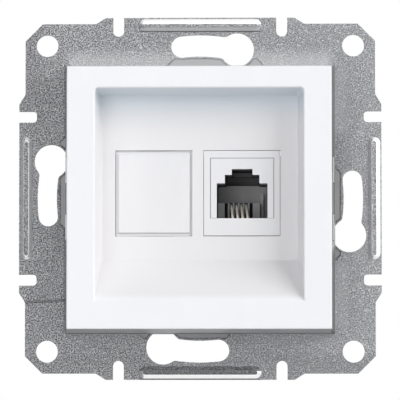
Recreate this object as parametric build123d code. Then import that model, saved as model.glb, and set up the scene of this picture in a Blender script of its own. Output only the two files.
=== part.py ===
from build123d import *
import os

# Flush telephone socket, seen from the room: +X right, +Z up, the front faces -Y.
# The origin is the centre of the yoke on the wall plane. All sizes are in millimetres.
# A depth is the distance in front of the wall plane, so y = -depth, and it is
# negative inside the wall box.

# mounting yoke, stamped from zinc-coated sheet steel
fixing_pitch = 60.0
corner_hole_diameter = 4.3
yoke_edge_margin = 5.5
yoke_sheet = 1.0
yoke_corner_set_in = 1.2
yoke_corner_chamfer = 3.4
yoke_edge_half_length = 18.5
yoke_step_run = 1.9
yoke_step_radius = 0.8
yoke_window_size = 46.0
yoke_window_radius = 6.0

# notches in the yoke's edges, two on each side
notch_offset = 16.0
notch_width = 2.15
end_notch_length = 3.7
side_notch_length = 3.45
side_notch_corner_radius = 0.7

# keyhole slots for the wall box screws, curved about the yoke's centre
end_keyhole_width = 4.25
side_keyhole_width = 3.8
keyhole_mouth_diameter = 6.6
keyhole_mouth_shift = 0.1
keyhole_tail_angle = 6.8
keyhole_mouth_angle = 14.0
keyhole_blend_radius = 1.0

# stiffening beads pressed into the yoke's edges
bead_length = 24.0
bead_width = 2.4
bead_height = 0.7
bead_slope_angle = 45.0
bead_crest_radius = 0.5
bead_edge_land = 0.22
bead_groove_inset = 0.41

# seats coined into the yoke's rear, where the support frame's arms hook on
arm_seat_depth = 0.3
arm_seat_margin = 0.3

# the plastic insert hangs a little low in the yoke's window
insert_drop = 0.25
slide_clearance = 0.1
window_clearance = 0.2

# white front plate
plate_width = 51.3
plate_height = 50.9
plate_rim = 1.6
plate_edge_radius = 0.2

# recess in the plate: three steep walls, and a ramp at the bottom
recess_side_margin = 5.4
recess_top_margin = 4.15
recess_bottom_margin = 5.3
recess_depth = 7.0
recess_floor_inset = 1.0
recess_ramp_length = 8.1
recess_corner_radius = 0.7
recess_floor_radius = 0.5
recess_edge_radius = 0.3
tub_wall = 1.4
tub_floor = 1.5
tub_gap = 0.1

# legs on both sides that snap the plate into the support frame
leg_offset = 5.6
leg_width = 5.0
leg_thickness = 1.0
leg_gap = 0.15
leg_end_gap = 0.4
nib_lead = 1.6
nib_height = 1.1
nib_reach = 0.25
leg_window_clearance = 0.2

# grey support frame: a sloping skirt, a base plate and the module pockets
skirt_side_spread = 0.8
skirt_end_spread = 0.9
skirt_top_inset = 0.2
skirt_wall = 1.4
frame_base = 0.9
frame_base_in_window = 1.6
lug_tail_reach = 6.1
lug_mouth_reach = 12.2
lug_end_chamfer = 1.2
lug_edge_set_in = 2.7
lug_keyhole_land = 0.5
lug_height = 0.6
lug_seat_depth = 0.35
lug_seat_margin = 0.2
pocket_wall = 1.2
pocket_length = 9.3
arm_width = 7.0
arm_thickness = 1.3
arm_reach = 3.2
barb_reach = 0.9
barb_gap = 0.15
barb_length = 2.1

# the two module places, blank on the left and jack on the right
port_web = 2.1
ports_offset_x = -0.35
ports_rise = 1.1

# what both modules share: face flange, body, latch arm and hook
module_body_width = 14.4
module_body_height = 15.8
flange_side_lip = 0.25
flange_end_lip = 0.4
module_face_thickness = 1.2
latch_width = 7.5
latch_gap = 0.7
latch_thickness = 0.8
latch_root_length = 1.35
latch_length = 9.6
latch_tooth_start = 3.4
latch_tooth_length = 2.0
latch_tooth_height = 1.5
hook_height = 1.4
hook_length = 2.15
stop_gap = 0.15
pocket_latch_room = 0.8
pocket_hook_room = 0.3
latch_window_clearance = 0.25

# blank module
blank_rebate_side = 0.475
blank_rebate_end = 0.55
blank_rebate = 0.45
blank_panel_chamfer = 0.15
blank_wall = 1.1
blank_face_thickness = 1.4
blank_length = 11.5

# jack module housing, and the window that its jack shows through
housing_side_wall = 0.9
housing_bottom_wall = 1.0
jack_window_lip = 0.05
jack_window_top_lip = 0.07
jack_window_sill = 2.02

# port outline, three steps up from the window's sill
port_width = 9.9
port_height = 6.82
latch_slot_width = 6.74
latch_slot_height = 1.65
key_slot_width = 4.05
key_slot_height = 1.14
shroud_fit = 0.05

# dark inner block of the jack
insert_cavity_growth = 0.12
insert_floor = 0.8
plug_depth = 9.5
latch_slot_overrun = 2.5
insert_rear_wall = 1.0
cavity_rib_width = 0.6
cavity_rib_height = 5.2
cavity_rib_offset = 3.5
carrier_joint = 0.3
peg_diameter = 1.2
peg_length = 0.8
peg_inset = 1.4

# contact comb and spring wires
contact_count = 4
comb_slot_count = 6
contact_pitch = 0.98
contacts_offset_x = -0.75
comb_rib_gap = 0.1
comb_height = 3.33
comb_length = 3.5
comb_slot_width = 0.62
comb_slot_depth = 1.5
wire_diameter = 0.46
wire_side_count = 10
wire_run_drop = 0.52
wire_nose_set_back = 0.75
wire_knee_set_back = 1.85
wire_knee_rise = 0.53
wire_tip_reach = 1.1
wire_tip_drop = 0.4
wire_nose_radius = 0.5
wire_knee_radius = 1.0
wire_lean_angle = 6.5
wire_notch_width = 5.4
wire_notch_length = 2.2

# circuit board behind the jack
board_thickness = 1.2
board_side_clearance = 0.2
board_gap = 0.1

# rear terminal block, its contacts and its two caps
block_base = 3.6
block_spigot = 0.3
tower_width = 3.8
tower_height = 6.6
terminal_drop = 4.5
conductor_slot_width = 1.1
conductor_slot_depth = 5.5
terminal_inset = 1.9
terminal_sheet = 0.5
terminal_fork_width = 3.0
terminal_fork_length = 6.5
terminal_tail_width = 0.8
terminal_tail_length = 2.9
terminal_slit = 0.4
terminal_slit_length = 4.5
terminal_mouth = 1.6
terminal_mouth_length = 0.9
terminal_clearance = 0.1
cap_wall = 0.65
cap_clearance = 0.15
cap_end = 1.1
cap_skirt = 3.7
cap_notch_width = 1.8
cap_notch_end_wall = 0.8
cap_rib_width = 0.8
cap_rib_length = 1.1
cap_rib_depth = 2.6
cap_edge_radius = 0.3

# limit for picking out corners
tolerance = 0.001

# places worked out from the sizes above
fixing_radius = fixing_pitch / 2
yoke_half = fixing_radius + yoke_edge_margin
yoke_low = yoke_half - yoke_corner_set_in
window_half = yoke_window_size / 2
arm_outer = window_half - window_clearance
arm_offset = window_half - yoke_window_radius - arm_width / 2
insert_z = -insert_drop
frame_front = yoke_sheet + frame_base
frame_rear = frame_front - frame_base_in_window
tub_back = frame_front + tub_gap
floor_depth = tub_back + tub_floor
plate_front = floor_depth + recess_depth
plate_back = plate_front - plate_rim
leg_end_depth = frame_front + leg_end_gap
nib_depth = leg_end_depth + nib_lead + nib_height
skirt_base_width = plate_width + 2 * skirt_side_spread
skirt_base_height = plate_height + 2 * skirt_end_spread
flange_width = module_body_width + 2 * flange_side_lip
flange_height = module_body_height + 2 * flange_end_lip
aperture_width = flange_width + 2 * slide_clearance
aperture_height = flange_height + 2 * slide_clearance
port_pitch = aperture_width + port_web
ports_z = insert_z + ports_rise
blank_x = ports_offset_x - port_pitch / 2
jack_x = ports_offset_x + port_pitch / 2
body_top = module_body_height / 2
pocket_rear = frame_rear - pocket_length
stop_depth = frame_rear - stop_gap
arm_top = body_top + latch_gap + latch_thickness
pocket_top = arm_top + pocket_latch_room
pocket_bottom = -body_top - hook_height - pocket_hook_room
face_back = floor_depth - module_face_thickness
insert_front = face_back - slide_clearance
bore_width = module_body_width - 2 * housing_side_wall
bore_top = body_top - housing_side_wall
bore_bottom = -body_top + housing_bottom_wall
jack_window_width = bore_width - 2 * jack_window_lip
jack_window_top = bore_top - jack_window_top_lip
jack_window_bottom = bore_bottom + jack_window_sill
port_shoulder = jack_window_bottom + port_height
latch_slot_top = port_shoulder + latch_slot_height
key_slot_top = latch_slot_top + key_slot_height
plug_stop = floor_depth - plug_depth
latch_slot_end = plug_stop - latch_slot_overrun
insert_rear = latch_slot_end - insert_rear_wall
insert_bottom = jack_window_bottom - insert_floor
comb_top = jack_window_bottom + comb_height
comb_front = plug_stop + comb_length
cavity_half = port_width / 2 + insert_cavity_growth
board_front = insert_rear - peg_length
board_rear = board_front - board_thickness
housing_rear = board_rear - board_gap - block_spigot
block_rear = housing_rear - block_base
tower_rear = block_rear - tower_height
tower_inner_x = module_body_width / 2 - tower_width
terminal_x = module_body_width / 2 - terminal_inset
terminal_z = body_top - terminal_drop


def slab(outline, back, front, taper=0.0):
    """An outline in the front view, made solid between two depths."""
    return extrude(Plane.XZ.offset(back) * outline, amount=front - back, taper=taper)


def block(x_low, x_high, z_low, z_high, back, front):
    """A plain block given by its limits."""
    centre = Pos((x_low + x_high) / 2, -(back + front) / 2, (z_low + z_high) / 2)
    return centre * Box(x_high - x_low, front - back, z_high - z_low)


def side_prism(points, x_low, x_high):
    """A side view outline of (depth, z) points, made solid between two x places."""
    outline = make_face(Polyline([(-depth, z) for depth, z in points], close=True))
    return extrude(Plane.YZ.offset(x_low) * outline, amount=x_high - x_low)


def plan_prism(points, z_low, z_high):
    """A plan view outline of (x, depth) points, made solid between two heights."""
    outline = make_face(Polyline([(x, -depth) for x, depth in points], close=True))
    return extrude(Plane.XY.offset(z_low) * outline, amount=z_high - z_low)


def on_side(solid, side):
    """A solid made on the right, or its mirror image on the left."""
    return solid if side > 0 else mirror(solid, about=Plane.YZ)


def in_front_view(sketch, x, z, turn=0.0):
    """Move a sketch in the front view, after turning it about the centre."""
    return Rot(0, 0, turn) * Pos(x, z) * sketch


# mounting yoke


def arm_places():
    """The side (-1 or 1) and height of each arm that holds the frame on the yoke."""
    return [(side, z) for side in (-1, 1) for z in (-arm_offset, arm_offset)]


def yoke_outline():
    """The sheet's edge: full width at mid-side, set in and chamfered at the corners."""
    step_outer = yoke_edge_half_length + yoke_step_run
    corner = yoke_low - yoke_corner_chamfer
    side = [(-corner, yoke_low), (-step_outer, yoke_low), (-yoke_edge_half_length, yoke_half)]
    side += [(-x, z) for x, z in reversed(side)]
    points = []
    for turn in range(4):
        points += [Vector(x, z).rotate(Axis.Z, -90 * turn) for x, z in side]
    outline = make_face(Polyline(points, close=True))
    steps = [v for v in outline.vertices() if min(abs(v.X), abs(v.Y)) < step_outer + tolerance]
    return fillet(steps, yoke_step_radius)


def notch_cutter(side):
    """One edge notch; those at the top and bottom end in a half circle."""
    if side in (0, 2):
        notch = SlotOverall(2 * end_notch_length, notch_width, rotation=90)
    else:
        notch = RectangleRounded(notch_width, 2 * side_notch_length, side_notch_corner_radius)
    return Pos(0, yoke_half) * notch


def keyhole(turn):
    """A curved slot with a round mouth that lets a screw head through."""
    width = side_keyhole_width if turn % 2 else end_keyhole_width
    sweep_angle = keyhole_tail_angle + keyhole_mouth_angle
    centre_line = CenterArc((0, 0), fixing_radius, 90 - keyhole_mouth_angle, sweep_angle)
    mouth_place = centre_line @ 0 + Vector(0, keyhole_mouth_shift)
    mouth = Pos(mouth_place.X, mouth_place.Y) * Circle(keyhole_mouth_diameter / 2)
    hole = SlotArc(centre_line, width) + mouth
    radius = keyhole_mouth_diameter / 2
    necks = [v for v in hole.vertices() if abs((Vector(v) - mouth_place).length - radius) < tolerance]
    inner_and_outer = sorted(necks, key=lambda v: v.X)[:2]
    return fillet(inner_and_outer, keyhole_blend_radius)


def bead_outline(inset):
    """The foot of an edge bead, or of the groove behind it, which is set in."""
    centre_z = yoke_half - bead_edge_land - bead_width / 2
    return Pos(0, centre_z) * SlotOverall(bead_length - 2 * inset, bead_width - 2 * inset)


def raised_bead(outline):
    """A bead with sloping sides and a rounded crest, standing on the sheet."""
    bead = slab(outline, yoke_sheet, yoke_sheet + bead_height, bead_slope_angle)
    return fillet(bead.faces().sort_by(Axis.Y)[0].edges(), bead_crest_radius)


def lug_outline(turn, growth=0.0):
    """A lug of the support frame, or its seat: a strip cut back round the keyhole."""
    inner = window_half + window_clearance - growth
    outer = fixing_radius - lug_edge_set_in + growth
    middle_x = (lug_mouth_reach - lug_tail_reach) / 2
    length = lug_tail_reach + lug_mouth_reach + 2 * growth
    strip = Pos(middle_x, (inner + outer) / 2) * Rectangle(length, outer - inner)
    strip = chamfer(strip.vertices().group_by(Axis.Y)[-1], lug_end_chamfer)
    return strip - offset(keyhole(turn), lug_keyhole_land - growth)


def arm_seat(z):
    """The thinned place on the right of the window that one arm hooks behind."""
    half_width = arm_width / 2 + arm_seat_margin
    reach = arm_outer + barb_reach + arm_seat_margin
    return block(0, reach, z - half_width, z + half_width, 0, arm_seat_depth)


def build_yoke():
    """The stamped yoke with its holes, notches, pressed beads and coined seats."""
    sheet = yoke_outline() - RectangleRounded(yoke_window_size, yoke_window_size, yoke_window_radius)
    for turn in range(4):
        corner = Pos(fixing_radius, fixing_radius) * Circle(corner_hole_diameter / 2)
        sheet -= Rot(0, 0, 90 * turn) * corner
        sheet -= Rot(0, 0, -90 * turn) * keyhole(turn)
        for place in (-notch_offset, notch_offset):
            sheet -= in_front_view(notch_cutter(turn), place, 0, -90 * turn)
    yoke = slab(sheet, 0, yoke_sheet)
    for turn in range(4):
        bead = Rot(0, 0, 90 * turn) * bead_outline(0)
        groove = Rot(0, 0, 90 * turn) * bead_outline(bead_groove_inset)
        yoke += raised_bead(bead)
        yoke -= slab(groove, 0, bead_height, bead_slope_angle)
        lug_seat = Rot(0, 0, 90 * turn) * lug_outline(turn, lug_seat_margin)
        yoke -= slab(lug_seat, yoke_sheet - lug_seat_depth, yoke_sheet)
    for side, z in arm_places():
        yoke -= on_side(arm_seat(z), side)
    return yoke


# white front plate


def runs_front_to_back(edge):
    """Whether an edge runs more front to back than across."""
    direction = edge.tangent_at(0.5)
    return abs(direction.Y) > abs(direction.X) + abs(direction.Z)


def recess_form(wall=0.0, floor=0.0):
    """The recess itself, or with a wall and a floor, the tub that holds it."""
    draft_slope = recess_floor_inset / recess_depth
    ramp_slope = recess_ramp_length / recess_depth
    floor_level = floor_depth - floor
    full_depth = plate_front - floor_level
    top = insert_z + plate_height / 2 - recess_top_margin + wall
    bottom = insert_z - plate_height / 2 + recess_bottom_margin - wall * ramp_slope
    half = plate_width / 2 - recess_side_margin + wall
    side_view = [
        (plate_front, top),
        (floor_level, top - draft_slope * full_depth),
        (floor_level, bottom + ramp_slope * full_depth),
        (plate_front, bottom),
    ]
    floor_half = half - draft_slope * full_depth
    plan = [
        (-half, plate_front),
        (half, plate_front),
        (floor_half, floor_level),
        (-floor_half, floor_level),
    ]
    form = side_prism(side_view, -half, half) & plan_prism(plan, bottom, top)
    corners = [e for e in form.edges() if runs_front_to_back(e) and e.center().Z > 0]
    form = fillet(corners, recess_corner_radius + wall)
    floor_edges = form.edges().group_by(Axis.Y)[-1]
    return fillet(floor_edges, recess_floor_radius)


def skirt_half(depth):
    """How far out the sloping skirt stands on its sides at a depth."""
    foot_half = skirt_base_width / 2
    top_half = plate_width / 2 - skirt_top_inset
    share = (depth - yoke_sheet) / (plate_back - yoke_sheet)
    return foot_half + (top_half - foot_half) * share


def leg_places():
    """The side (-1 or 1) and height of each snap leg."""
    return [(side, insert_z + z) for side in (-1, 1) for z in (-leg_offset, leg_offset)]


def plate_leg(z):
    """A leg behind the plate's right edge, with the nib that snaps into the skirt."""
    outer = skirt_half(plate_back) - skirt_wall - leg_gap
    inner = outer - leg_thickness
    nib_tip = skirt_half(nib_depth) + nib_reach
    profile = [
        (inner, plate_back),
        (outer, plate_back),
        (outer, nib_depth),
        (nib_tip, nib_depth),
        (nib_tip, nib_depth - nib_height / 2),
        (outer, nib_depth - nib_height),
        (outer, leg_end_depth),
        (inner, leg_end_depth),
    ]
    return plan_prism(profile, z - leg_width / 2, z + leg_width / 2)


def build_front_plate():
    """The plate, its recess with two module apertures, and its four snap legs."""
    face = in_front_view(Rectangle(plate_width, plate_height), 0, insert_z)
    plate = slab(face, plate_back, plate_front)
    plate = fillet(plate.faces().sort_by(Axis.Y)[0].edges(), plate_edge_radius)
    plate += recess_form(tub_wall, tub_floor)
    plate -= recess_form()
    mouth = plate.faces().sort_by(Axis.Y)[0].inner_wires()[0]
    plate = fillet(mouth.edges(), recess_edge_radius)
    for port_x in (blank_x, jack_x):
        opening = Rectangle(aperture_width, aperture_height)
        plate -= slab(in_front_view(opening, port_x, ports_z), tub_back, floor_depth)
    for side, z in leg_places():
        plate += on_side(plate_leg(z), side)
    return plate


# grey support frame


def skirt_form(inset):
    """The skirt's sloping outside, or its inside with the wall as inset."""
    foot = Rectangle(skirt_base_width - 2 * inset, skirt_base_height - 2 * inset)
    top_width = plate_width - 2 * skirt_top_inset - 2 * inset
    top_height = plate_height - 2 * skirt_top_inset - 2 * inset
    top = Rectangle(top_width, top_height)
    low = Plane.XZ.offset(yoke_sheet) * Pos(0, insert_z) * foot
    high = Plane.XZ.offset(plate_back) * Pos(0, insert_z) * top
    return loft([low, high], ruled=True)


def leg_window(z):
    """The hole in the skirt that a leg's nib snaps into."""
    inner = skirt_half(plate_back) - skirt_wall
    outer = skirt_half(yoke_sheet) + skirt_wall
    half_width = leg_width / 2 + leg_window_clearance
    back = nib_depth - nib_height - leg_window_clearance
    front = nib_depth + leg_window_clearance
    return block(inner, outer, z - half_width, z + half_width, back, front)


def module_pocket():
    """The walls behind the base plate that guide one module and hold its latch."""
    half = aperture_width / 2 + slide_clearance
    outer_half = half + pocket_wall
    outer_top = pocket_top + pocket_wall
    walls = block(-outer_half, outer_half, pocket_bottom - pocket_wall, outer_top, pocket_rear, frame_rear)
    inside = block(-half, half, pocket_bottom, pocket_top, pocket_rear, frame_rear)
    window_half = latch_width / 2 + latch_window_clearance
    window_front = stop_depth - latch_tooth_start + latch_window_clearance
    window_back = window_front - latch_tooth_length - 2 * latch_window_clearance
    latch_window = block(-window_half, window_half, pocket_top, outer_top, window_back, window_front)
    return walls, inside + latch_window


def snap_arm(z):
    """An arm at the right of the yoke's window, with the barb that hooks on the yoke."""
    rear = frame_rear - arm_reach
    barb_front = arm_seat_depth - barb_gap
    profile = [
        (arm_outer - arm_thickness, frame_front),
        (arm_outer, frame_front),
        (arm_outer, barb_front),
        (arm_outer + barb_reach, barb_front),
        (arm_outer, barb_front - barb_length),
        (arm_outer, rear),
        (arm_outer - arm_thickness, rear),
    ]
    return plan_prism(profile, z - arm_width / 2, z + arm_width / 2)


def build_support_frame():
    """The grey frame that carries the plate and the modules on the yoke."""
    window_fill = 2 * arm_outer
    fill_radius = yoke_window_radius - window_clearance
    above_base = block(-yoke_half, yoke_half, -yoke_half, yoke_half, frame_front, plate_back)
    frame = skirt_form(0) - (skirt_form(skirt_wall) & above_base)
    frame += slab(RectangleRounded(window_fill, window_fill, fill_radius), frame_rear, frame_front)
    for turn in range(4):
        lug = Rot(0, 0, 90 * turn) * lug_outline(turn)
        frame += slab(lug, yoke_sheet - lug_seat_depth, yoke_sheet + lug_height)
    pocket_insides = []
    for port_x in (blank_x, jack_x):
        walls, inside = module_pocket()
        frame += Pos(port_x, 0, ports_z) * walls
        pocket_insides.append(Pos(port_x, 0, ports_z) * inside)
        opening = Rectangle(aperture_width + 2 * slide_clearance, aperture_height + 2 * slide_clearance)
        pocket_insides.append(slab(in_front_view(opening, port_x, ports_z), frame_rear, frame_front))
    for inside in pocket_insides:
        frame -= inside
    for side, z in arm_places():
        frame += on_side(snap_arm(z), side)
    for side, z in leg_places():
        frame -= on_side(leg_window(z), side)
    return frame


# modules


def module_latch():
    """The springy latch arm above a module and the fixed hook below it."""
    half = latch_width / 2
    root_back = stop_depth - latch_root_length
    tooth_front = stop_depth - latch_tooth_start
    tooth_back = tooth_front - latch_tooth_length
    profile = [
        (stop_depth, body_top),
        (stop_depth, arm_top),
        (tooth_front, arm_top),
        (tooth_back, arm_top + latch_tooth_height),
        (tooth_back, arm_top),
        (stop_depth - latch_length, arm_top),
        (stop_depth - latch_length, arm_top - latch_thickness),
        (root_back, arm_top - latch_thickness),
        (root_back, body_top),
    ]
    arm = side_prism(profile, -half, half)
    hook = block(-half, half, -body_top - hook_height, -body_top, stop_depth - hook_length, stop_depth)
    return arm, hook


def build_blank_insert():
    """The blank: a panel inside a shallow rebate, on a hollow latching body."""
    rebate_depth = floor_depth - blank_rebate
    inner_width = module_body_width - 2 * blank_wall
    inner_height = module_body_height - 2 * blank_wall
    panel_width = flange_width - 2 * blank_rebate_side
    panel_height = flange_height - 2 * blank_rebate_end
    blank_rear = floor_depth - blank_length
    blank = slab(Rectangle(panel_width, panel_height), rebate_depth, floor_depth)
    blank = chamfer(blank.faces().sort_by(Axis.Y)[0].edges(), blank_panel_chamfer)
    blank += slab(Rectangle(flange_width, flange_height), face_back, rebate_depth)
    blank += slab(Rectangle(module_body_width, module_body_height), blank_rear, face_back)
    blank -= slab(Rectangle(inner_width, inner_height), blank_rear, floor_depth - blank_face_thickness)
    for piece in module_latch():
        blank += piece
    return Pos(blank_x, 0, ports_z) * blank


def build_keystone_housing():
    """The jack module's white sleeve, with the window its jack shows through."""
    half_window = jack_window_width / 2
    half_bore = bore_width / 2
    housing = slab(Rectangle(flange_width, flange_height), face_back, floor_depth)
    housing += slab(Rectangle(module_body_width, module_body_height), housing_rear, face_back)
    housing -= block(-half_bore, half_bore, bore_bottom, bore_top, housing_rear, face_back)
    housing -= block(
        -half_window, half_window, jack_window_bottom, jack_window_top, face_back, floor_depth
    )
    for piece in module_latch():
        housing += piece
    return Pos(jack_x, 0, ports_z) * housing


def port_outline(growth, bottom):
    """The stepped outline of a modular port: plug, latch slot and key slot."""
    half_port = port_width / 2 + growth
    half_latch = latch_slot_width / 2 + growth
    half_key = key_slot_width / 2 + growth
    right = [
        (half_port, bottom),
        (half_port, port_shoulder + growth),
        (half_latch, port_shoulder + growth),
        (half_latch, latch_slot_top + growth),
        (half_key, latch_slot_top + growth),
        (half_key, key_slot_top + growth),
    ]
    left = [(-x, z) for x, z in reversed(right)]
    return make_face(Polyline(right + left, close=True))


def build_jack_shroud():
    """The white face round the port, open at the bottom."""
    half = jack_window_width / 2 - shroud_fit
    bottom = jack_window_bottom + shroud_fit
    top = jack_window_top - shroud_fit
    shroud = block(-half, half, bottom, top, insert_front, floor_depth)
    shroud -= slab(port_outline(0, bottom), insert_front, floor_depth)
    return Pos(jack_x, 0, ports_z) * shroud


def build_jack_insert():
    """The dark block with the stepped plug cavity."""
    half = jack_window_width / 2 - shroud_fit
    top = bore_top - slide_clearance
    insert = block(-half, half, insert_bottom, top, insert_rear, insert_front)
    cavity = port_outline(insert_cavity_growth, jack_window_bottom)
    insert -= slab(cavity, plug_stop, insert_front)
    half_latch = latch_slot_width / 2 + insert_cavity_growth
    latch_top = latch_slot_top + insert_cavity_growth
    insert -= block(-half_latch, half_latch, port_shoulder, latch_top, latch_slot_end, insert_front)
    carrier = port_outline(insert_cavity_growth - carrier_joint, jack_window_bottom)
    insert -= slab(cavity - carrier, latch_slot_end, plug_stop)
    notch_left = contacts_offset_x - wire_notch_width / 2
    notch_right = notch_left + wire_notch_width
    notch_end = insert_front - wire_notch_length
    insert -= block(notch_left, notch_right, insert_bottom, jack_window_bottom, notch_end, insert_front)
    rib_top = jack_window_bottom + cavity_rib_height
    rib_front = plug_stop + cavity_half - cavity_rib_offset
    insert += block(
        cavity_rib_offset, cavity_rib_offset + cavity_rib_width, jack_window_bottom, rib_top,
        plug_stop, rib_front,
    )
    for side in (-1, 1):
        for z in (insert_bottom + peg_inset, top - peg_inset):
            place = Pos(side * (half - peg_inset), z)
            insert += slab(place * Circle(peg_diameter / 2), board_front, insert_rear)
    return Pos(jack_x, 0, ports_z) * insert


def build_contact_comb():
    """The slotted comb at the back of the cavity that keeps the wires apart."""
    left = carrier_joint - cavity_half
    right = cavity_rib_offset - comb_rib_gap
    comb = block(left, right, jack_window_bottom, comb_top, plug_stop, comb_front)
    for number in range(comb_slot_count):
        slot_x = contacts_offset_x + (number - (comb_slot_count - 1) / 2) * contact_pitch
        comb -= block(
            slot_x - comb_slot_width / 2, slot_x + comb_slot_width / 2,
            jack_window_bottom, comb_top, comb_front - comb_slot_depth, comb_front,
        )
    return Pos(jack_x, 0, ports_z) * comb


def build_contact_wire(number):
    """One spring wire, from the board, round the cavity's lip and up into its slot."""
    run_z = insert_bottom - wire_run_drop
    tip_z = comb_top - wire_tip_drop
    route = [
        (0, -board_front, run_z),
        (0, wire_nose_set_back - insert_front, run_z),
        (0, wire_knee_set_back - insert_front, jack_window_bottom + wire_knee_rise),
        (0, wire_tip_reach - comb_front, tip_z),
    ]
    path = FilletPolyline(route, radius=[wire_nose_radius, wire_knee_radius])
    start = Plane(origin=route[0], z_dir=(0, -1, 0))
    wire = sweep(start * RegularPolygon(wire_diameter / 2, wire_side_count), path)
    lean = Pos(0, 0, tip_z) * Rot(0, -wire_lean_angle, 0) * Pos(0, 0, -tip_z)
    slot_x = (number - (contact_count - 1) / 2) * contact_pitch
    return Pos(jack_x + contacts_offset_x + slot_x, 0, ports_z) * lean * wire


def build_circuit_board():
    """The small board that joins the wires to the rear contacts."""
    half = bore_width / 2 - board_side_clearance
    bottom = bore_bottom + board_side_clearance
    top = bore_top - board_side_clearance
    board = block(-half, half, bottom, top, board_rear, board_front)
    return Pos(jack_x, 0, ports_z) * board


# rear terminals


def terminal_places():
    """The side (-1 or 1) and height of each rear contact."""
    return [(side, z) for side in (-1, 1) for z in (terminal_z, -terminal_z)]


def build_idc_block():
    """The terminal block: a base and two slotted towers with a channel between."""
    half = module_body_width / 2
    spigot_half = bore_width / 2 - board_side_clearance
    spigot_bottom = bore_bottom + board_side_clearance
    spigot_top = bore_top - board_side_clearance
    spigot_front = housing_rear + block_spigot
    body = block(-half, half, -body_top, body_top, block_rear, housing_rear)
    body += block(-spigot_half, spigot_half, spigot_bottom, spigot_top, housing_rear, spigot_front)
    for side in (-1, 1):
        low, high = sorted((side * tower_inner_x, side * half))
        body += block(low, high, -body_top, body_top, tower_rear, block_rear)
    slot_front = tower_rear + conductor_slot_depth
    pocket_half = terminal_fork_width / 2 + terminal_clearance
    tail_half = terminal_tail_width / 2 + terminal_clearance
    sheet_half = terminal_sheet / 2 + terminal_clearance
    pocket_front = board_rear - terminal_tail_length + terminal_clearance
    for side, z in terminal_places():
        x = side * terminal_x
        low, high = sorted((side * tower_inner_x, side * half))
        half_slot = conductor_slot_width / 2
        body -= block(low, high, z - half_slot, z + half_slot, tower_rear, slot_front)
        left, right = x - sheet_half, x + sheet_half
        body -= block(left, right, z - pocket_half, z + pocket_half, tower_rear, pocket_front)
        body -= block(left, right, z - tail_half, z + tail_half, pocket_front, spigot_front)
    return Pos(jack_x, 0, ports_z) * body


def build_idc_contact(side, z):
    """One forked contact that cuts through a conductor's insulation."""
    fork_front = board_rear - terminal_tail_length
    fork_rear = fork_front - terminal_fork_length
    fork_half = terminal_fork_width / 2
    tail_half = terminal_tail_width / 2
    slit_half = terminal_slit / 2
    mouth_half = terminal_mouth / 2
    upper = [
        (board_rear, tail_half),
        (fork_front, tail_half),
        (fork_front, fork_half),
        (fork_rear, fork_half),
        (fork_rear, mouth_half),
        (fork_rear + terminal_mouth_length, slit_half),
        (fork_rear + terminal_slit_length, slit_half),
    ]
    lower = [(depth, -height) for depth, height in reversed(upper)]
    contact = side_prism(upper + lower, -terminal_sheet / 2, terminal_sheet / 2)
    return Pos(jack_x + side * terminal_x, 0, ports_z + z) * contact


def build_idc_cap(side):
    """A cap that pushes the conductors into one tower's contacts."""
    half = module_body_width / 2
    inner_low = tower_inner_x - cap_clearance
    inner_high = half + cap_clearance
    inner_z = body_top + cap_clearance
    roof = tower_rear - cap_clearance
    lip = roof + cap_skirt
    cap = block(
        inner_low - cap_wall, inner_high + cap_wall, -inner_z - cap_wall, inner_z + cap_wall,
        roof - cap_end, lip,
    )
    cap = fillet(cap.faces().sort_by(Axis.Y)[-1].edges(), cap_edge_radius)
    cap -= block(inner_low, inner_high, -inner_z, inner_z, roof, lip)
    for z in (-terminal_z, terminal_z):
        half_notch = cap_notch_width / 2
        notch_low = inner_low - cap_wall
        notch_high = inner_high + cap_wall
        cap -= block(notch_low, notch_high, z - half_notch, z + half_notch, roof + cap_notch_end_wall, lip)
        half_rib = cap_rib_width / 2
        for rib_low in (tower_inner_x + cap_clearance, half - cap_clearance - cap_rib_length):
            rib_high = rib_low + cap_rib_length
            cap += block(rib_low, rib_high, z - half_rib, z + half_rib, roof, roof + cap_rib_depth)
    return Pos(jack_x, 0, ports_z) * on_side(cap, side)


def all_pieces():
    """Every piece of the socket by its name."""
    pieces = {
        "mounting_yoke": build_yoke(),
        "support_frame": build_support_frame(),
        "front_plate": build_front_plate(),
        "blank_insert": build_blank_insert(),
        "keystone_housing": build_keystone_housing(),
        "jack_shroud": build_jack_shroud(),
        "jack_insert": build_jack_insert(),
        "contact_comb": build_contact_comb(),
        "circuit_board": build_circuit_board(),
        "idc_block": build_idc_block(),
        "idc_cap_left": build_idc_cap(-1),
        "idc_cap_right": build_idc_cap(1),
    }
    for number in range(contact_count):
        pieces[f"contact_wire_{number + 1}"] = build_contact_wire(number)
    for number, (side, z) in enumerate(terminal_places()):
        pieces[f"idc_contact_{number + 1}"] = build_idc_contact(side, z)
    return pieces


os.makedirs("parts", exist_ok=True)
for name, piece in all_pieces().items():
    piece.label = name
    export_step(piece, f"parts/{name}.step")
    print(name, len(piece.solids()), round(piece.volume, 2))
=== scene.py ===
import math

import bpy
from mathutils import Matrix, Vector


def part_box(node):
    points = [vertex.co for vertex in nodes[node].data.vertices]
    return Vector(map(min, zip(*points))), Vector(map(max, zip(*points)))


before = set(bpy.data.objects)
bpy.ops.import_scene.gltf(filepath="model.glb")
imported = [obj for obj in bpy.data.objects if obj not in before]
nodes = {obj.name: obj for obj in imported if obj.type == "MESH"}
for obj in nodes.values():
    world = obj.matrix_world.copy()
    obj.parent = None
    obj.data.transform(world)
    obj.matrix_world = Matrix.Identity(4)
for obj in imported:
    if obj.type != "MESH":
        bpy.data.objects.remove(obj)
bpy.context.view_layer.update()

MM = 0.001


def low_corner(node):
    """The lowest corner of a node's box, in millimetres."""
    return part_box(node)[0] / MM


def high_corner(node):
    """The highest corner of a node's box, in millimetres."""
    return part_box(node)[1] / MM


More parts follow.
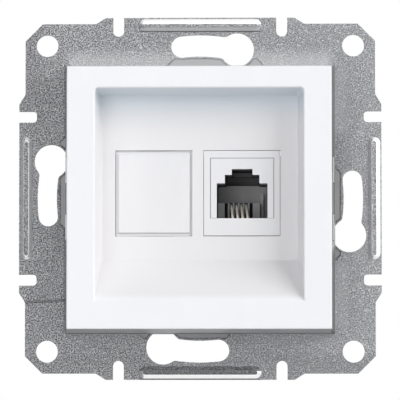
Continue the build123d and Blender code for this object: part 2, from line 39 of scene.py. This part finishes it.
# places in millimetres: X to the right, Y into the wall from its face, Z up
sheet_front = -1.0
bead_crest = low_corner("mounting_yoke").y
bead_half_length = 12.0
bead_outer_foot = high_corner("mounting_yoke").z - 0.22
bead_middle = bead_outer_foot - 1.2
bead_inner_foot = bead_outer_foot - 2.4
frame_base_front = -1.9
skirt_side = 26.45
plate_front = low_corner("front_plate").y
plate_top = high_corner("front_plate").z
module_face = low_corner("keystone_housing").y
module_top = 9.15
module_foot = -7.45
blank_right = high_corner("blank_insert").x
housing_right = high_corner("keystone_housing").x
shroud_left = low_corner("jack_shroud").x
shroud_right = high_corner("jack_shroud").x
shroud_top = high_corner("jack_shroud").z
comb_front = low_corner("contact_comb").y

# painted shades that come back in several finishes
sheet_shade = (0.03, 0.03, 0.032)
seam_shade = (0.04, 0.04, 0.042)


# node helpers


class Value:
    """A number that changes over a surface. Sums on it add the Math nodes."""

    def __init__(self, finish, socket):
        self.finish = finish
        self.socket = socket

    def __add__(self, other):
        return self.finish.maths("ADD", self, other)

    def __radd__(self, other):
        return self.finish.maths("ADD", other, self)

    def __sub__(self, other):
        return self.finish.maths("SUBTRACT", self, other)

    def __rsub__(self, other):
        return self.finish.maths("SUBTRACT", other, self)

    def __mul__(self, other):
        return self.finish.maths("MULTIPLY", self, other)

    def __rmul__(self, other):
        return self.finish.maths("MULTIPLY", other, self)


class Finish:
    """One material or world, with the node helpers that the finishes share."""

    def __init__(self, tree):
        self.tree = tree
        self.tree.nodes.clear()

    def node(self, kind, settings=None, sockets=None, out=0):
        """Add a node. Each socket named takes a constant, or a link from a Value."""
        made = self.tree.nodes.new(kind)
        for name, value in (settings or {}).items():
            if name == "stops":
                self.set_stops(made.color_ramp, value)
            else:
                setattr(made, name, value)
        for name, value in (sockets or {}).items():
            if isinstance(value, Value):
                self.tree.links.new(value.socket, made.inputs[name])
            else:
                made.inputs[name].default_value = value
        return Value(self, made.outputs[out]) if made.outputs else made

    def set_stops(self, ramp, stops):
        while len(ramp.elements) < len(stops):
            ramp.elements.new(0.5)
        for element, (place, level) in zip(ramp.elements, stops):
            element.position = place
            element.color = (level, level, level, 1.0)

    def maths(self, operation, *values):
        return self.node("ShaderNodeMath", {"operation": operation}, dict(enumerate(values)))

    def size_of(self, value):
        """The value without its sign."""
        return self.maths("ABSOLUTE", value)

    def place(self):
        """The point on the object, in metres."""
        return self.node("ShaderNodeTexCoord", out="Object")

    def normal(self):
        return self.node("ShaderNodeNewGeometry", out="Normal")

    def part_of(self, vector, axis):
        return self.node("ShaderNodeSeparateXYZ", {}, {0: vector}, out=axis)

    def along(self, axis):
        """How far along an axis the point lies, in metres."""
        return self.part_of(self.place(), axis)

    def facing(self, axis):
        """How squarely the surface faces along an axis, 0 to 1."""
        return self.size_of(self.part_of(self.normal(), axis))

    def noise(self, size, detail=2.0, stretch=(1, 1, 1)):
        """Soft noise whose blotches are about size metres across."""
        spread = tuple(s / size for s in stretch)
        scaled = self.node(
            "ShaderNodeVectorMath", {"operation": "MULTIPLY"}, {0: self.place(), 1: spread}
        )
        return self.node("ShaderNodeTexNoise", {}, {"Vector": scaled, "Scale": 1.0, "Detail": detail})

    def ramp(self, value, stops):
        return self.node("ShaderNodeValToRGB", {"stops": stops}, {0: value})

    def step(self, value, start, end):
        """0 below start, 1 above end, smooth between them."""
        inputs = {"Value": value, "From Min": start, "From Max": end}
        settings = {"interpolation_type": "SMOOTHSTEP"}
        return self.node("ShaderNodeMapRange", settings, inputs)

    def past(self, axis, start, end):
        """0 before start along an axis and 1 past end, both in millimetres."""
        return self.step(self.along(axis), start * MM, end * MM)

    def out_from_middle(self, axis, start, end):
        """0 nearer to the middle than start and 1 farther than end, in millimetres."""
        return self.step(self.size_of(self.along(axis)), start * MM, end * MM)

    def strip(self, axis, near_edge, far_edge):
        """1 in a strip across an axis. Each edge is soft, between its two places."""
        return self.past(axis, *near_edge) * (1 - self.past(axis, *far_edge))

    def blend(self, share, first, second):
        """A colour between two, by share."""
        colours = [c if isinstance(c, Value) else (*c, 1.0) for c in (first, second)]
        inputs = {0: share, 6: colours[0], 7: colours[1]}
        return self.node("ShaderNodeMix", {"data_type": "RGBA"}, inputs, out=2)

    def bump(self, height, depth, strength):
        """A normal from a height of 0 to 1 that stands for depth metres."""
        inputs = {"Height": height, "Distance": depth, "Strength": strength}
        return self.node("ShaderNodeBump", {}, inputs, out="Normal")

    def principled(self, sockets):
        return self.node("ShaderNodeBsdfPrincipled", {}, sockets)

    def surface(self, shader):
        self.node("ShaderNodeOutputMaterial", {}, {"Surface": shader})


def new_finish(name):
    material = bpy.data.materials.new(name)
    material.use_nodes = True
    return material, Finish(material.node_tree)


# shares, 0 to 1, of the zinc yoke that differ from the plain sheet: mostly painted highlight, light
# and shade


def on_sheet_front(f):
    """The front of the sheet, not its back."""
    return 1 - f.past("Y", sheet_front + 0.4, sheet_front + 0.6)


def burnish_and_highlight(f):
    """A painted highlight on the beads' sloping sides and the top bead's brow, weaker on left-facing
    slopes below the top bead and missing on upward slopes in the lower half; the press also left these
    parts smoother.

    A band of grain is left along the top bead's crest.
    """
    sloping = 1 - f.step(f.facing("Y"), 0.93, 0.998)
    leftward = 1 - f.step(f.part_of(f.normal(), "X"), -0.30, -0.12)
    upward = f.step(f.part_of(f.normal(), "Z"), 0.12, 0.30)
    below_top_bead = 1 - f.past("Z", 20.0, 25.0)
    lower_half = 1 - f.past("Z", -1.0, 1.0)
    above_grain = f.past("Z", bead_middle + 0.07, bead_middle + 0.20)
    grain = f.past("Z", bead_middle - 0.63, bead_middle - 0.53) * (1 - above_grain)
    brow = above_grain * (1 - f.past("Y", bead_crest + 0.10, bead_crest + 0.15))
    proud = 1 - f.past("Y", sheet_front - 0.06, sheet_front - 0.01)
    slopes = sloping * proud * (1 - 0.65 * leftward * below_top_bead) * (1 - upward * lower_half)
    return (slopes + brow * (1 - slopes)) * (1 - 0.8 * grain)


def bead_shade(f):
    """The top bead's foot, the bottom bead's crest and the land outside it, which get little light."""
    along_bead = 1 - f.out_from_middle("X", bead_half_length - 0.4, bead_half_length + 0.2)
    foot_start = bead_inner_foot - 0.22, bead_inner_foot - 0.16
    foot_end = bead_inner_foot - 0.02, bead_inner_foot + 0.02
    foot = f.strip("Z", foot_start, foot_end)
    on_bottom_bead = 1 - f.past("Z", -bead_inner_foot - 0.42, -bead_inner_foot - 0.22)
    crest = on_bottom_bead * (1 - f.past("Y", bead_crest + 0.06, bead_crest + 0.10))
    land = 1 - f.past("Z", -bead_outer_foot - 0.04, -bead_outer_foot + 0.02)
    return along_bead * (0.9 * foot + 0.55 * crest + 0.8 * land)


def above_the_plate(f):
    """The strip beside the white plate's top edge, which throws light on it."""
    strip = f.strip("Z", (plate_top + 0.3, plate_top + 0.8), (plate_top + 1.2, plate_top + 5.2))
    beside_plate = 1 - f.out_from_middle("X", 24.5, 27.0)
    return strip * beside_plate * on_sheet_front(f)


def beside_the_skirt(f):
    """The strips of the yoke right of the skirt and below it, which the white plate lights."""
    right_start = skirt_side - 0.25, skirt_side + 0.05
    right_end = skirt_side + 0.75, skirt_side + 3.55
    right = f.strip("X", right_start, right_end)
    right_ends = f.out_from_middle("Z", 11.0, 14.0) * (1 - f.out_from_middle("Z", 24.0, 27.0))
    below_start = -skirt_side - 3.55, -skirt_side - 1.05
    below_end = -skirt_side - 0.05, -skirt_side + 0.25
    below = f.strip("Z", below_start, below_end)
    below_ends = f.out_from_middle("X", 8.0, 12.0) * (1 - f.out_from_middle("X", 24.0, 27.0))
    return (right * right_ends + 0.4 * below * below_ends) * on_sheet_front(f)


def least_lit(f):
    """The yoke's upper left and lower edge, the land by its left keyhole and a line by the skirt."""
    upper_left = (1 - f.past("X", -33.0, -27.0)) * f.past("Z", 12.0, 22.0)
    lower_edge = 1 - f.past("Z", -31.5, -29.5)
    lower_right = lower_edge * f.past("X", 12.0, 20.0)
    under_skirt = -skirt_side + 0.45, -skirt_side + 1.45
    keyhole_land = f.strip("X", (-30.0, -28.5), under_skirt) * (1 - f.out_from_middle("Z", 9.0, 12.0))
    line_start = -skirt_side - 0.38, -skirt_side - 0.26
    line_ends = skirt_side - 0.45, skirt_side + 0.05
    skirt_line = f.strip("X", line_start, under_skirt) * (1 - f.out_from_middle("Z", *line_ends))
    lands = 0.20 * upper_left + 0.14 * lower_edge + 0.08 * lower_right + 0.18 * keyhole_land
    return lands + 0.35 * skirt_line


def fine_dark_line(f):
    """A fine dark line across the yoke's left side, below its bead, rising a little to the right."""
    rise = 0.053
    height_at_middle = -18.53 * MM
    off_line = f.size_of(f.along("Z") - rise * f.along("X") - height_at_middle)
    on_line = 1 - f.step(off_line, 0.12 * MM, 0.42 * MM)
    left_of_skirt = 1 - f.past("X", -skirt_side - 0.05, -skirt_side + 0.45)
    return on_line * left_of_skirt * on_sheet_front(f)


# shares, 0 to 1, of the plastic pieces where shade or light is painted on their plain colour


def deeper_than(start, end):
    """A share that is 0 in front of one depth and 1 behind the other."""
    return lambda f: f.past("Y", start, end)


def recess_painted_shade(f):
    """The recess of the plate, behind its rim, painted a little greyer as shade."""
    return f.past("Y", plate_front + 0.2, plate_front + 1.5)


def painted_shade_under_rim(f):
    """The upper part of the recess, below the plate's rim, where a blue-grey shade is painted."""
    return recess_painted_shade(f) * f.past("Z", 12.5, 20.5)


def seam_wall_shade(f):
    """The walls of the fine seams round the modules, behind the blank's rebate on the left, painted
    dark as the shade in the seams.
    """
    facing_sideways = 1 - f.step(f.facing("Y"), 0.3, 0.6)
    on_jack = f.past("X", -1.0, 1.0)
    jack_seam = on_jack * f.past("Y", module_face, module_face + 0.04)
    blank_seam = (1 - on_jack) * f.past("Y", module_face + 0.5, module_face + 0.6)
    before_base = 1 - f.past("Y", frame_base_front, frame_base_front + 0.2)
    return facing_sideways * (jack_seam + blank_seam) * before_base


def rebate_shade(f):
    """The blank's rebate, but for its left side, where the panel's edge keeps the light off."""
    right = f.past("X", blank_right - 0.6, blank_right - 0.5)
    top = f.past("Z", module_top - 0.25, module_top - 0.15)
    foot_start = module_foot + 0.30, module_foot + 0.40
    foot_end = module_foot + 0.55, module_foot + 0.57
    foot = f.strip("Z", foot_start, foot_end)
    in_rebate = f.past("Y", module_face + 0.15, module_face + 0.25)
    return in_rebate * (right + (top + foot) * (1 - right))


def housing_edge_shade(f):
    """The right and lower edges of the jack module's face, along its seam with the plate, where a fine
    line of shade is painted.
    """
    right = f.past("X", housing_right - 0.12, housing_right - 0.08)
    foot = 1 - f.past("Z", module_foot + 0.05, module_foot + 0.09)
    on_flange = 1 - f.past("Y", module_face + 1.0, module_face + 1.1)
    return (right + foot * (1 - right)) * on_flange


def shroud_edge(f):
    """The edge of the face round the port, where a fine line of shade shows."""
    middle = (shroud_left + shroud_right) / 2
    half_width = (shroud_right - shroud_left) / 2
    from_middle = f.size_of(f.along("X") - middle * MM)
    side = f.step(from_middle, (half_width - 0.13) * MM, (half_width - 0.09) * MM)
    top = f.past("Z", shroud_top - 0.09, shroud_top - 0.05)
    return side + top * (1 - side)


def latch_slot_wall(f):
    """The wall above the port's latch slot, which the lamps hardly reach."""
    return f.past("Z", 4.00, 4.15)


def on_skirt(f):
    """The grey frame's skirt, in front of its base."""
    return 1 - f.past("Y", frame_base_front, frame_base_front + 0.3)


def skirt_right_shade(f):
    """The right side of the grey skirt, turned from the room, painted darker as shade."""
    return f.past("X", skirt_side - 1.05, skirt_side - 0.65) * on_skirt(f)


def skirt_foot_shade(f):
    """The foot of the grey skirt, painted dark as the shade where it meets the yoke."""
    return f.past("Y", frame_base_front - 1.1, frame_base_front - 0.3) * on_skirt(f)


def skirt_top(f):
    """The grey frame beside the plate's top edge, lit as the yoke is there."""
    return 0.6 * above_the_plate(f)


# finishes


def zinc_sheet():
    """Zinc-coated steel: a fine grey grain, with painted shade, painted light from the white plate,
    and a painted highlight on the beads, whose sides the press left smoother.
    """
    material, f = new_finish("zinc_sheet")
    speck = f.ramp(f.noise(0.25 * MM, detail=0.0), [(0.34, 0.0), (0.66, 1.0)])
    spark = f.ramp(f.noise(0.23 * MM, detail=0.0), [(0.66, 0.0), (0.74, 1.0)])
    cloud = f.noise(5.0 * MM, detail=3.0)
    # the grain turns darker and of harder contrast towards the left: a painted shade
    tone = 0.25 + 0.6 * f.past("X", -36.0, 30.0)
    dark = f.blend(tone, (0.005, 0.006, 0.008), (0.165, 0.169, 0.176))
    pale = f.blend(tone, (0.45, 0.455, 0.465), (0.385, 0.392, 0.405))
    grey = f.blend(speck, dark, pale)
    sparkled = f.blend(spark * 0.55, grey, (0.85, 0.85, 0.86))
    clouded = f.blend(f.step(cloud, 0.3, 0.7) * 0.2, sparkled, (0.27, 0.274, 0.282))
    dimmed = f.blend(least_lit(f) + 0.5 * fine_dark_line(f), clouded, sheet_shade)
    shaded = f.blend(bead_shade(f), dimmed, sheet_shade)
    bounce = 0.38 * above_the_plate(f) + 0.20 * beside_the_skirt(f)
    lit = f.blend(bounce, shaded, (0.75, 0.755, 0.77))
    # the beads' bright sides and brow are a painted highlight, with lower roughness for the smoother
    # pressed metal
    rubbed_and_highlit = burnish_and_highlight(f)
    f.surface(f.principled({
        "Base Color": f.blend(rubbed_and_highlit, lit, (0.95, 0.95, 0.95)),
        "Metallic": 0.45 + 0.3 * rubbed_and_highlit,
        "Roughness": 0.50 + 0.14 * speck - 0.12 * rubbed_and_highlit,
        "Normal": f.bump(speck * (1 - rubbed_and_highlit), 0.02 * MM, 0.4),
    }))
    return material


def moulded_plastic(name, tones, roughness, grain_depth, coat=0.0, shine=0.4, tints=()):
    """Moulded plastic: a faint flow pattern between two tones and a fine eroded skin.

    Each tint is a share function and the colour painted there as shade or light.
    """
    material, f = new_finish(name)
    flow = f.noise(7.0 * MM, detail=3.0, stretch=(1.0, 1.0, 0.45))
    skin = f.noise(0.16 * MM)
    colour = f.blend(f.step(flow, 0.3, 0.7), *tones)
    for share, tint in tints:
        colour = f.blend(share(f), colour, tint)
    f.surface(f.principled({
        "Base Color": colour,
        "Specular IOR Level": shine,
        "Roughness": roughness + 0.10 * (skin - 0.5) + 0.05 * (flow - 0.5),
        "Normal": f.bump(skin, grain_depth, 0.5),
        "Coat Weight": coat,
        "Coat Roughness": 0.15,
    }))
    return material


def plate_white():
    return moulded_plastic(
        "plate_white", ((0.885, 0.890, 0.915), (0.900, 0.905, 0.930)),
        roughness=0.34, grain_depth=0.002 * MM, coat=0.15,
        tints=[
            (recess_painted_shade, (0.81, 0.80, 0.81)),
            (painted_shade_under_rim, (0.68, 0.735, 0.775)),
            (seam_wall_shade, seam_shade),
        ],
    )


def satin_white(name, edge, edge_tint):
    """The white of the modules, with a shade along the edges of the face."""
    return moulded_plastic(
        name, ((0.805, 0.805, 0.818), (0.830, 0.830, 0.842)),
        roughness=0.42, grain_depth=0.003 * MM,
        tints=[(edge, edge_tint), (seam_wall_shade, seam_shade)],
    )


def module_white():
    return satin_white("module_white", rebate_shade, (0.66, 0.66, 0.67))


def housing_white():
    return satin_white("housing_white", housing_edge_shade, (0.30, 0.30, 0.305))


def shroud_white():
    return satin_white("shroud_white", shroud_edge, (0.33, 0.33, 0.335))


def frame_grey():
    return moulded_plastic(
        "frame_grey", ((0.34, 0.343, 0.347), (0.40, 0.403, 0.407)),
        roughness=0.48, grain_depth=0.006 * MM,
        tints=[
            (skirt_right_shade, (0.15, 0.151, 0.153)),
            (skirt_foot_shade, (0.09, 0.09, 0.092)),
            (skirt_top, (0.62, 0.625, 0.635)),
        ],
    )


def jack_dark():
    """The dark block, painted darker still as shade at the far end of its cavity and above its latch
    slot.
    """
    return moulded_plastic(
        "jack_dark", ((0.37, 0.37, 0.375), (0.43, 0.43, 0.435)),
        roughness=0.50, grain_depth=0.006 * MM, shine=0.2,
        tints=[
            (deeper_than(6.1, 6.8), (0.16, 0.16, 0.165)),
            (latch_slot_wall, (0.14, 0.14, 0.145)),
        ],
    )


def comb_dark():
    """The comb, painted near black behind its front face as the shade in its slots."""
    return moulded_plastic(
        "comb_dark", ((0.27, 0.27, 0.275), (0.31, 0.31, 0.315)),
        roughness=0.50, grain_depth=0.006 * MM, shine=0.1,
        tints=[(deeper_than(comb_front + 0.15, comb_front + 0.25), (0.012, 0.012, 0.012))],
    )


def terminal_ivory():
    return moulded_plastic(
        "terminal_ivory", ((0.74, 0.735, 0.70), (0.79, 0.785, 0.75)),
        roughness=0.45, grain_depth=0.005 * MM,
    )


def board_laminate():
    """Green lacquer over glass weave."""
    material, f = new_finish("board_laminate")
    thread_pitch = 0.4 * MM
    waves = 2 * math.pi / thread_pitch
    warp = f.maths("SINE", f.along("X") * waves)
    weft = f.maths("SINE", f.along("Z") * waves)
    weave = warp * weft * 0.5 + 0.5
    f.surface(f.principled({
        "Base Color": f.blend(weave, (0.03, 0.16, 0.07), (0.05, 0.23, 0.10)),
        "Roughness": 0.30 + 0.1 * weave,
        "Normal": f.bump(weave, 0.01 * MM, 0.4),
    }))
    return material


def drawn_metal(name, tones, roughness, metallic):
    """Drawn or stamped metal, with fine marks along its length."""
    material, f = new_finish(name)
    marks = f.noise(0.05 * MM, stretch=(1.0, 0.08, 0.2))
    stain = f.noise(0.8 * MM, detail=3.0)
    f.surface(f.principled({
        "Base Color": f.blend(f.step(stain, 0.25, 0.75), *tones),
        "Metallic": metallic,
        "Roughness": roughness + 0.12 * (marks - 0.5),
        "Normal": f.bump(marks, 0.004 * MM, 0.5),
    }))
    return material


def gilded_wire():
    """Thin gilding, which looks pale in the dark port."""
    tones = (0.93, 0.87, 0.74), (0.98, 0.95, 0.86)
    return drawn_metal("gilded_wire", tones, roughness=0.32, metallic=0.20)


def tinned_bronze():
    tones = (0.58, 0.57, 0.55), (0.72, 0.71, 0.69)
    return drawn_metal("tinned_bronze", tones, roughness=0.38, metallic=1.0)


def dress_nodes():
    """Give each node its one finish."""
    finishes = {
        "mounting_yoke": zinc_sheet(),
        "support_frame": frame_grey(),
        "front_plate": plate_white(),
        "blank_insert": module_white(),
        "keystone_housing": housing_white(),
        "jack_shroud": shroud_white(),
        "jack_insert": jack_dark(),
        "contact_comb": comb_dark(),
        "circuit_board": board_laminate(),
    }
    ivory = terminal_ivory()
    for name in ("idc_block", "idc_cap_left", "idc_cap_right"):
        finishes[name] = ivory
    gilded = gilded_wire()
    tinned = tinned_bronze()
    for number in range(1, 5):
        finishes[f"contact_wire_{number}"] = gilded
        finishes[f"idc_contact_{number}"] = tinned
    for name, material in finishes.items():
        nodes[name].data.materials.clear()
        nodes[name].data.materials.append(material)


# stage


def white_room():
    """A soft pale room that the camera and glossy surfaces see as plain white."""
    world = bpy.data.worlds.new("white_room")
    bpy.context.scene.world = world
    world.use_nodes = True
    w = Finish(world.node_tree)
    by_camera, by_gloss, through_glass = [
        w.node("ShaderNodeLightPath", out=ray)
        for ray in ("Is Camera Ray", "Is Glossy Ray", "Is Transmission Ray")
    ]
    seen = w.maths("MAXIMUM", by_camera, by_gloss + through_glass)
    light = w.node("ShaderNodeBackground", {}, {"Color": (0.88, 0.95, 1.0, 1.0), "Strength": 0.13})
    white = w.node("ShaderNodeBackground", {}, {"Color": (1, 1, 1, 1), "Strength": 1.0})
    mixed = w.node("ShaderNodeMixShader", {}, {0: seen, 1: light, 2: white})
    w.node("ShaderNodeOutputWorld", {}, {"Surface": mixed})


def stage_square(name, material, side, centre, facing):
    """A flat square of the stage, facing along a direction."""
    mesh = bpy.data.meshes.new(name)
    half = side / 2
    rim = [(-half, -half, 0), (half, -half, 0), (half, half, 0), (-half, half, 0)]
    mesh.from_pydata(rim, [], [(0, 1, 2, 3)])
    piece = bpy.data.objects.new(name, mesh)
    bpy.context.scene.collection.objects.link(piece)
    piece.location = centre
    piece.rotation_euler = Vector(facing).to_track_quat("Z", "Y").to_euler()
    mesh.materials.append(material)
    return piece


def floor_finish():
    """A pale matt floor that stays pale far from the lamps and keeps the object's shadow."""
    material, f = new_finish("stage_floor")
    colour = f.blend(f.noise(40.0 * MM), (0.86, 0.86, 0.87), (0.90, 0.90, 0.91))
    matt = {"Roughness": 1.0, "Specular IOR Level": 0.0}
    lit = f.principled({**matt, "Base Color": colour})
    glow = f.principled({
        **matt,
        "Base Color": (0.0, 0.0, 0.0, 1.0),
        "Emission Color": colour,
        "Emission Strength": 1.0,
    })
    seen = f.node("ShaderNodeLightPath", out="Is Camera Ray")
    f.surface(f.node("ShaderNodeMixShader", {}, {0: 0.65 * seen, 1: lit, 2: glow}))
    return material


def flag_finish():
    """Grey cloth that the left side mirrors instead of the white room."""
    material, f = new_finish("stage_flag")
    cloth = f.blend(f.noise(2.0 * MM), (0.50, 0.50, 0.50), (0.58, 0.58, 0.58))
    f.surface(f.principled({"Base Color": cloth, "Roughness": 0.9}))
    return material


def set_stage():
    """A floor under the object, and a flag on its left that only mirrors show."""
    floor = stage_square("floor", floor_finish(), side=3.0, centre=(0, 0, -0.30), facing=(0, 0, 1))
    floor.visible_glossy = False
    flag = stage_square("flag", flag_finish(), side=0.6, centre=(-0.28, -0.10, 0), facing=(1, 0, 0))
    flag.visible_camera = False
    flag.visible_diffuse = False


def from_front(azimuth, elevation):
    """The direction to a point so many degrees right of the front and above it."""
    a, e = math.radians(azimuth), math.radians(elevation)
    return Vector((math.sin(a) * math.cos(e), -math.cos(a) * math.cos(e), math.sin(e)))


def soft_lamp(name, azimuth, elevation, distance, size, power, colour):
    """A square lamp that shines on the object from a direction off its front."""
    lamp = bpy.data.lights.new(name, "AREA")
    lamp.size = size
    lamp.energy = power
    lamp.color = colour
    holder = bpy.data.objects.new(name, lamp)
    bpy.context.scene.collection.objects.link(holder)
    direction = from_front(azimuth, elevation)
    holder.location = direction * distance
    holder.rotation_euler = direction.to_track_quat("Z", "Y").to_euler()


def set_lamps():
    """A key lamp high on the right, two weak ones on the left, and two for the back."""
    soft_lamp(
        "key_lamp", azimuth=57, elevation=27, distance=0.80, size=0.60,
        power=5.4, colour=(1.0, 0.99, 0.985),
    )
    soft_lamp(
        "front_lamp", azimuth=-25, elevation=2, distance=0.55, size=0.49,
        power=1.25, colour=(1.0, 0.99, 1.0),
    )
    soft_lamp(
        "upper_lamp", azimuth=-30, elevation=30, distance=0.60, size=0.40,
        power=0.45, colour=(0.98, 0.99, 1.0),
    )
    soft_lamp(
        "back_lamp", azimuth=150, elevation=25, distance=0.90, size=0.80,
        power=3.0, colour=(1.0, 1.0, 1.0),
    )
    soft_lamp(
        "low_back_lamp", azimuth=-140, elevation=10, distance=0.90, size=0.80,
        power=2.0, colour=(1.0, 1.0, 1.0),
    )


def set_camera():
    """A long lens in front of the socket, a little to the right and below."""
    distance = 0.700
    field = 0.07845
    target = Vector((-0.05, 0.0, -0.27)) * MM
    data = bpy.data.cameras.new("camera")
    data.sensor_width = 36.0
    data.lens = data.sensor_width * distance / field
    data.clip_start = 0.01
    data.clip_end = 10.0
    camera = bpy.data.objects.new("camera", data)
    bpy.context.scene.collection.objects.link(camera)
    direction = from_front(azimuth=1.3, elevation=-3.0)
    camera.location = target + direction * distance
    camera.rotation_mode = "QUATERNION"
    camera.rotation_quaternion = direction.to_track_quat("Z", "Y")
    bpy.context.scene.camera = camera


dress_nodes()
white_room()
set_stage()
set_lamps()
set_camera()
bpy.context.scene.view_settings.view_transform = "Standard"
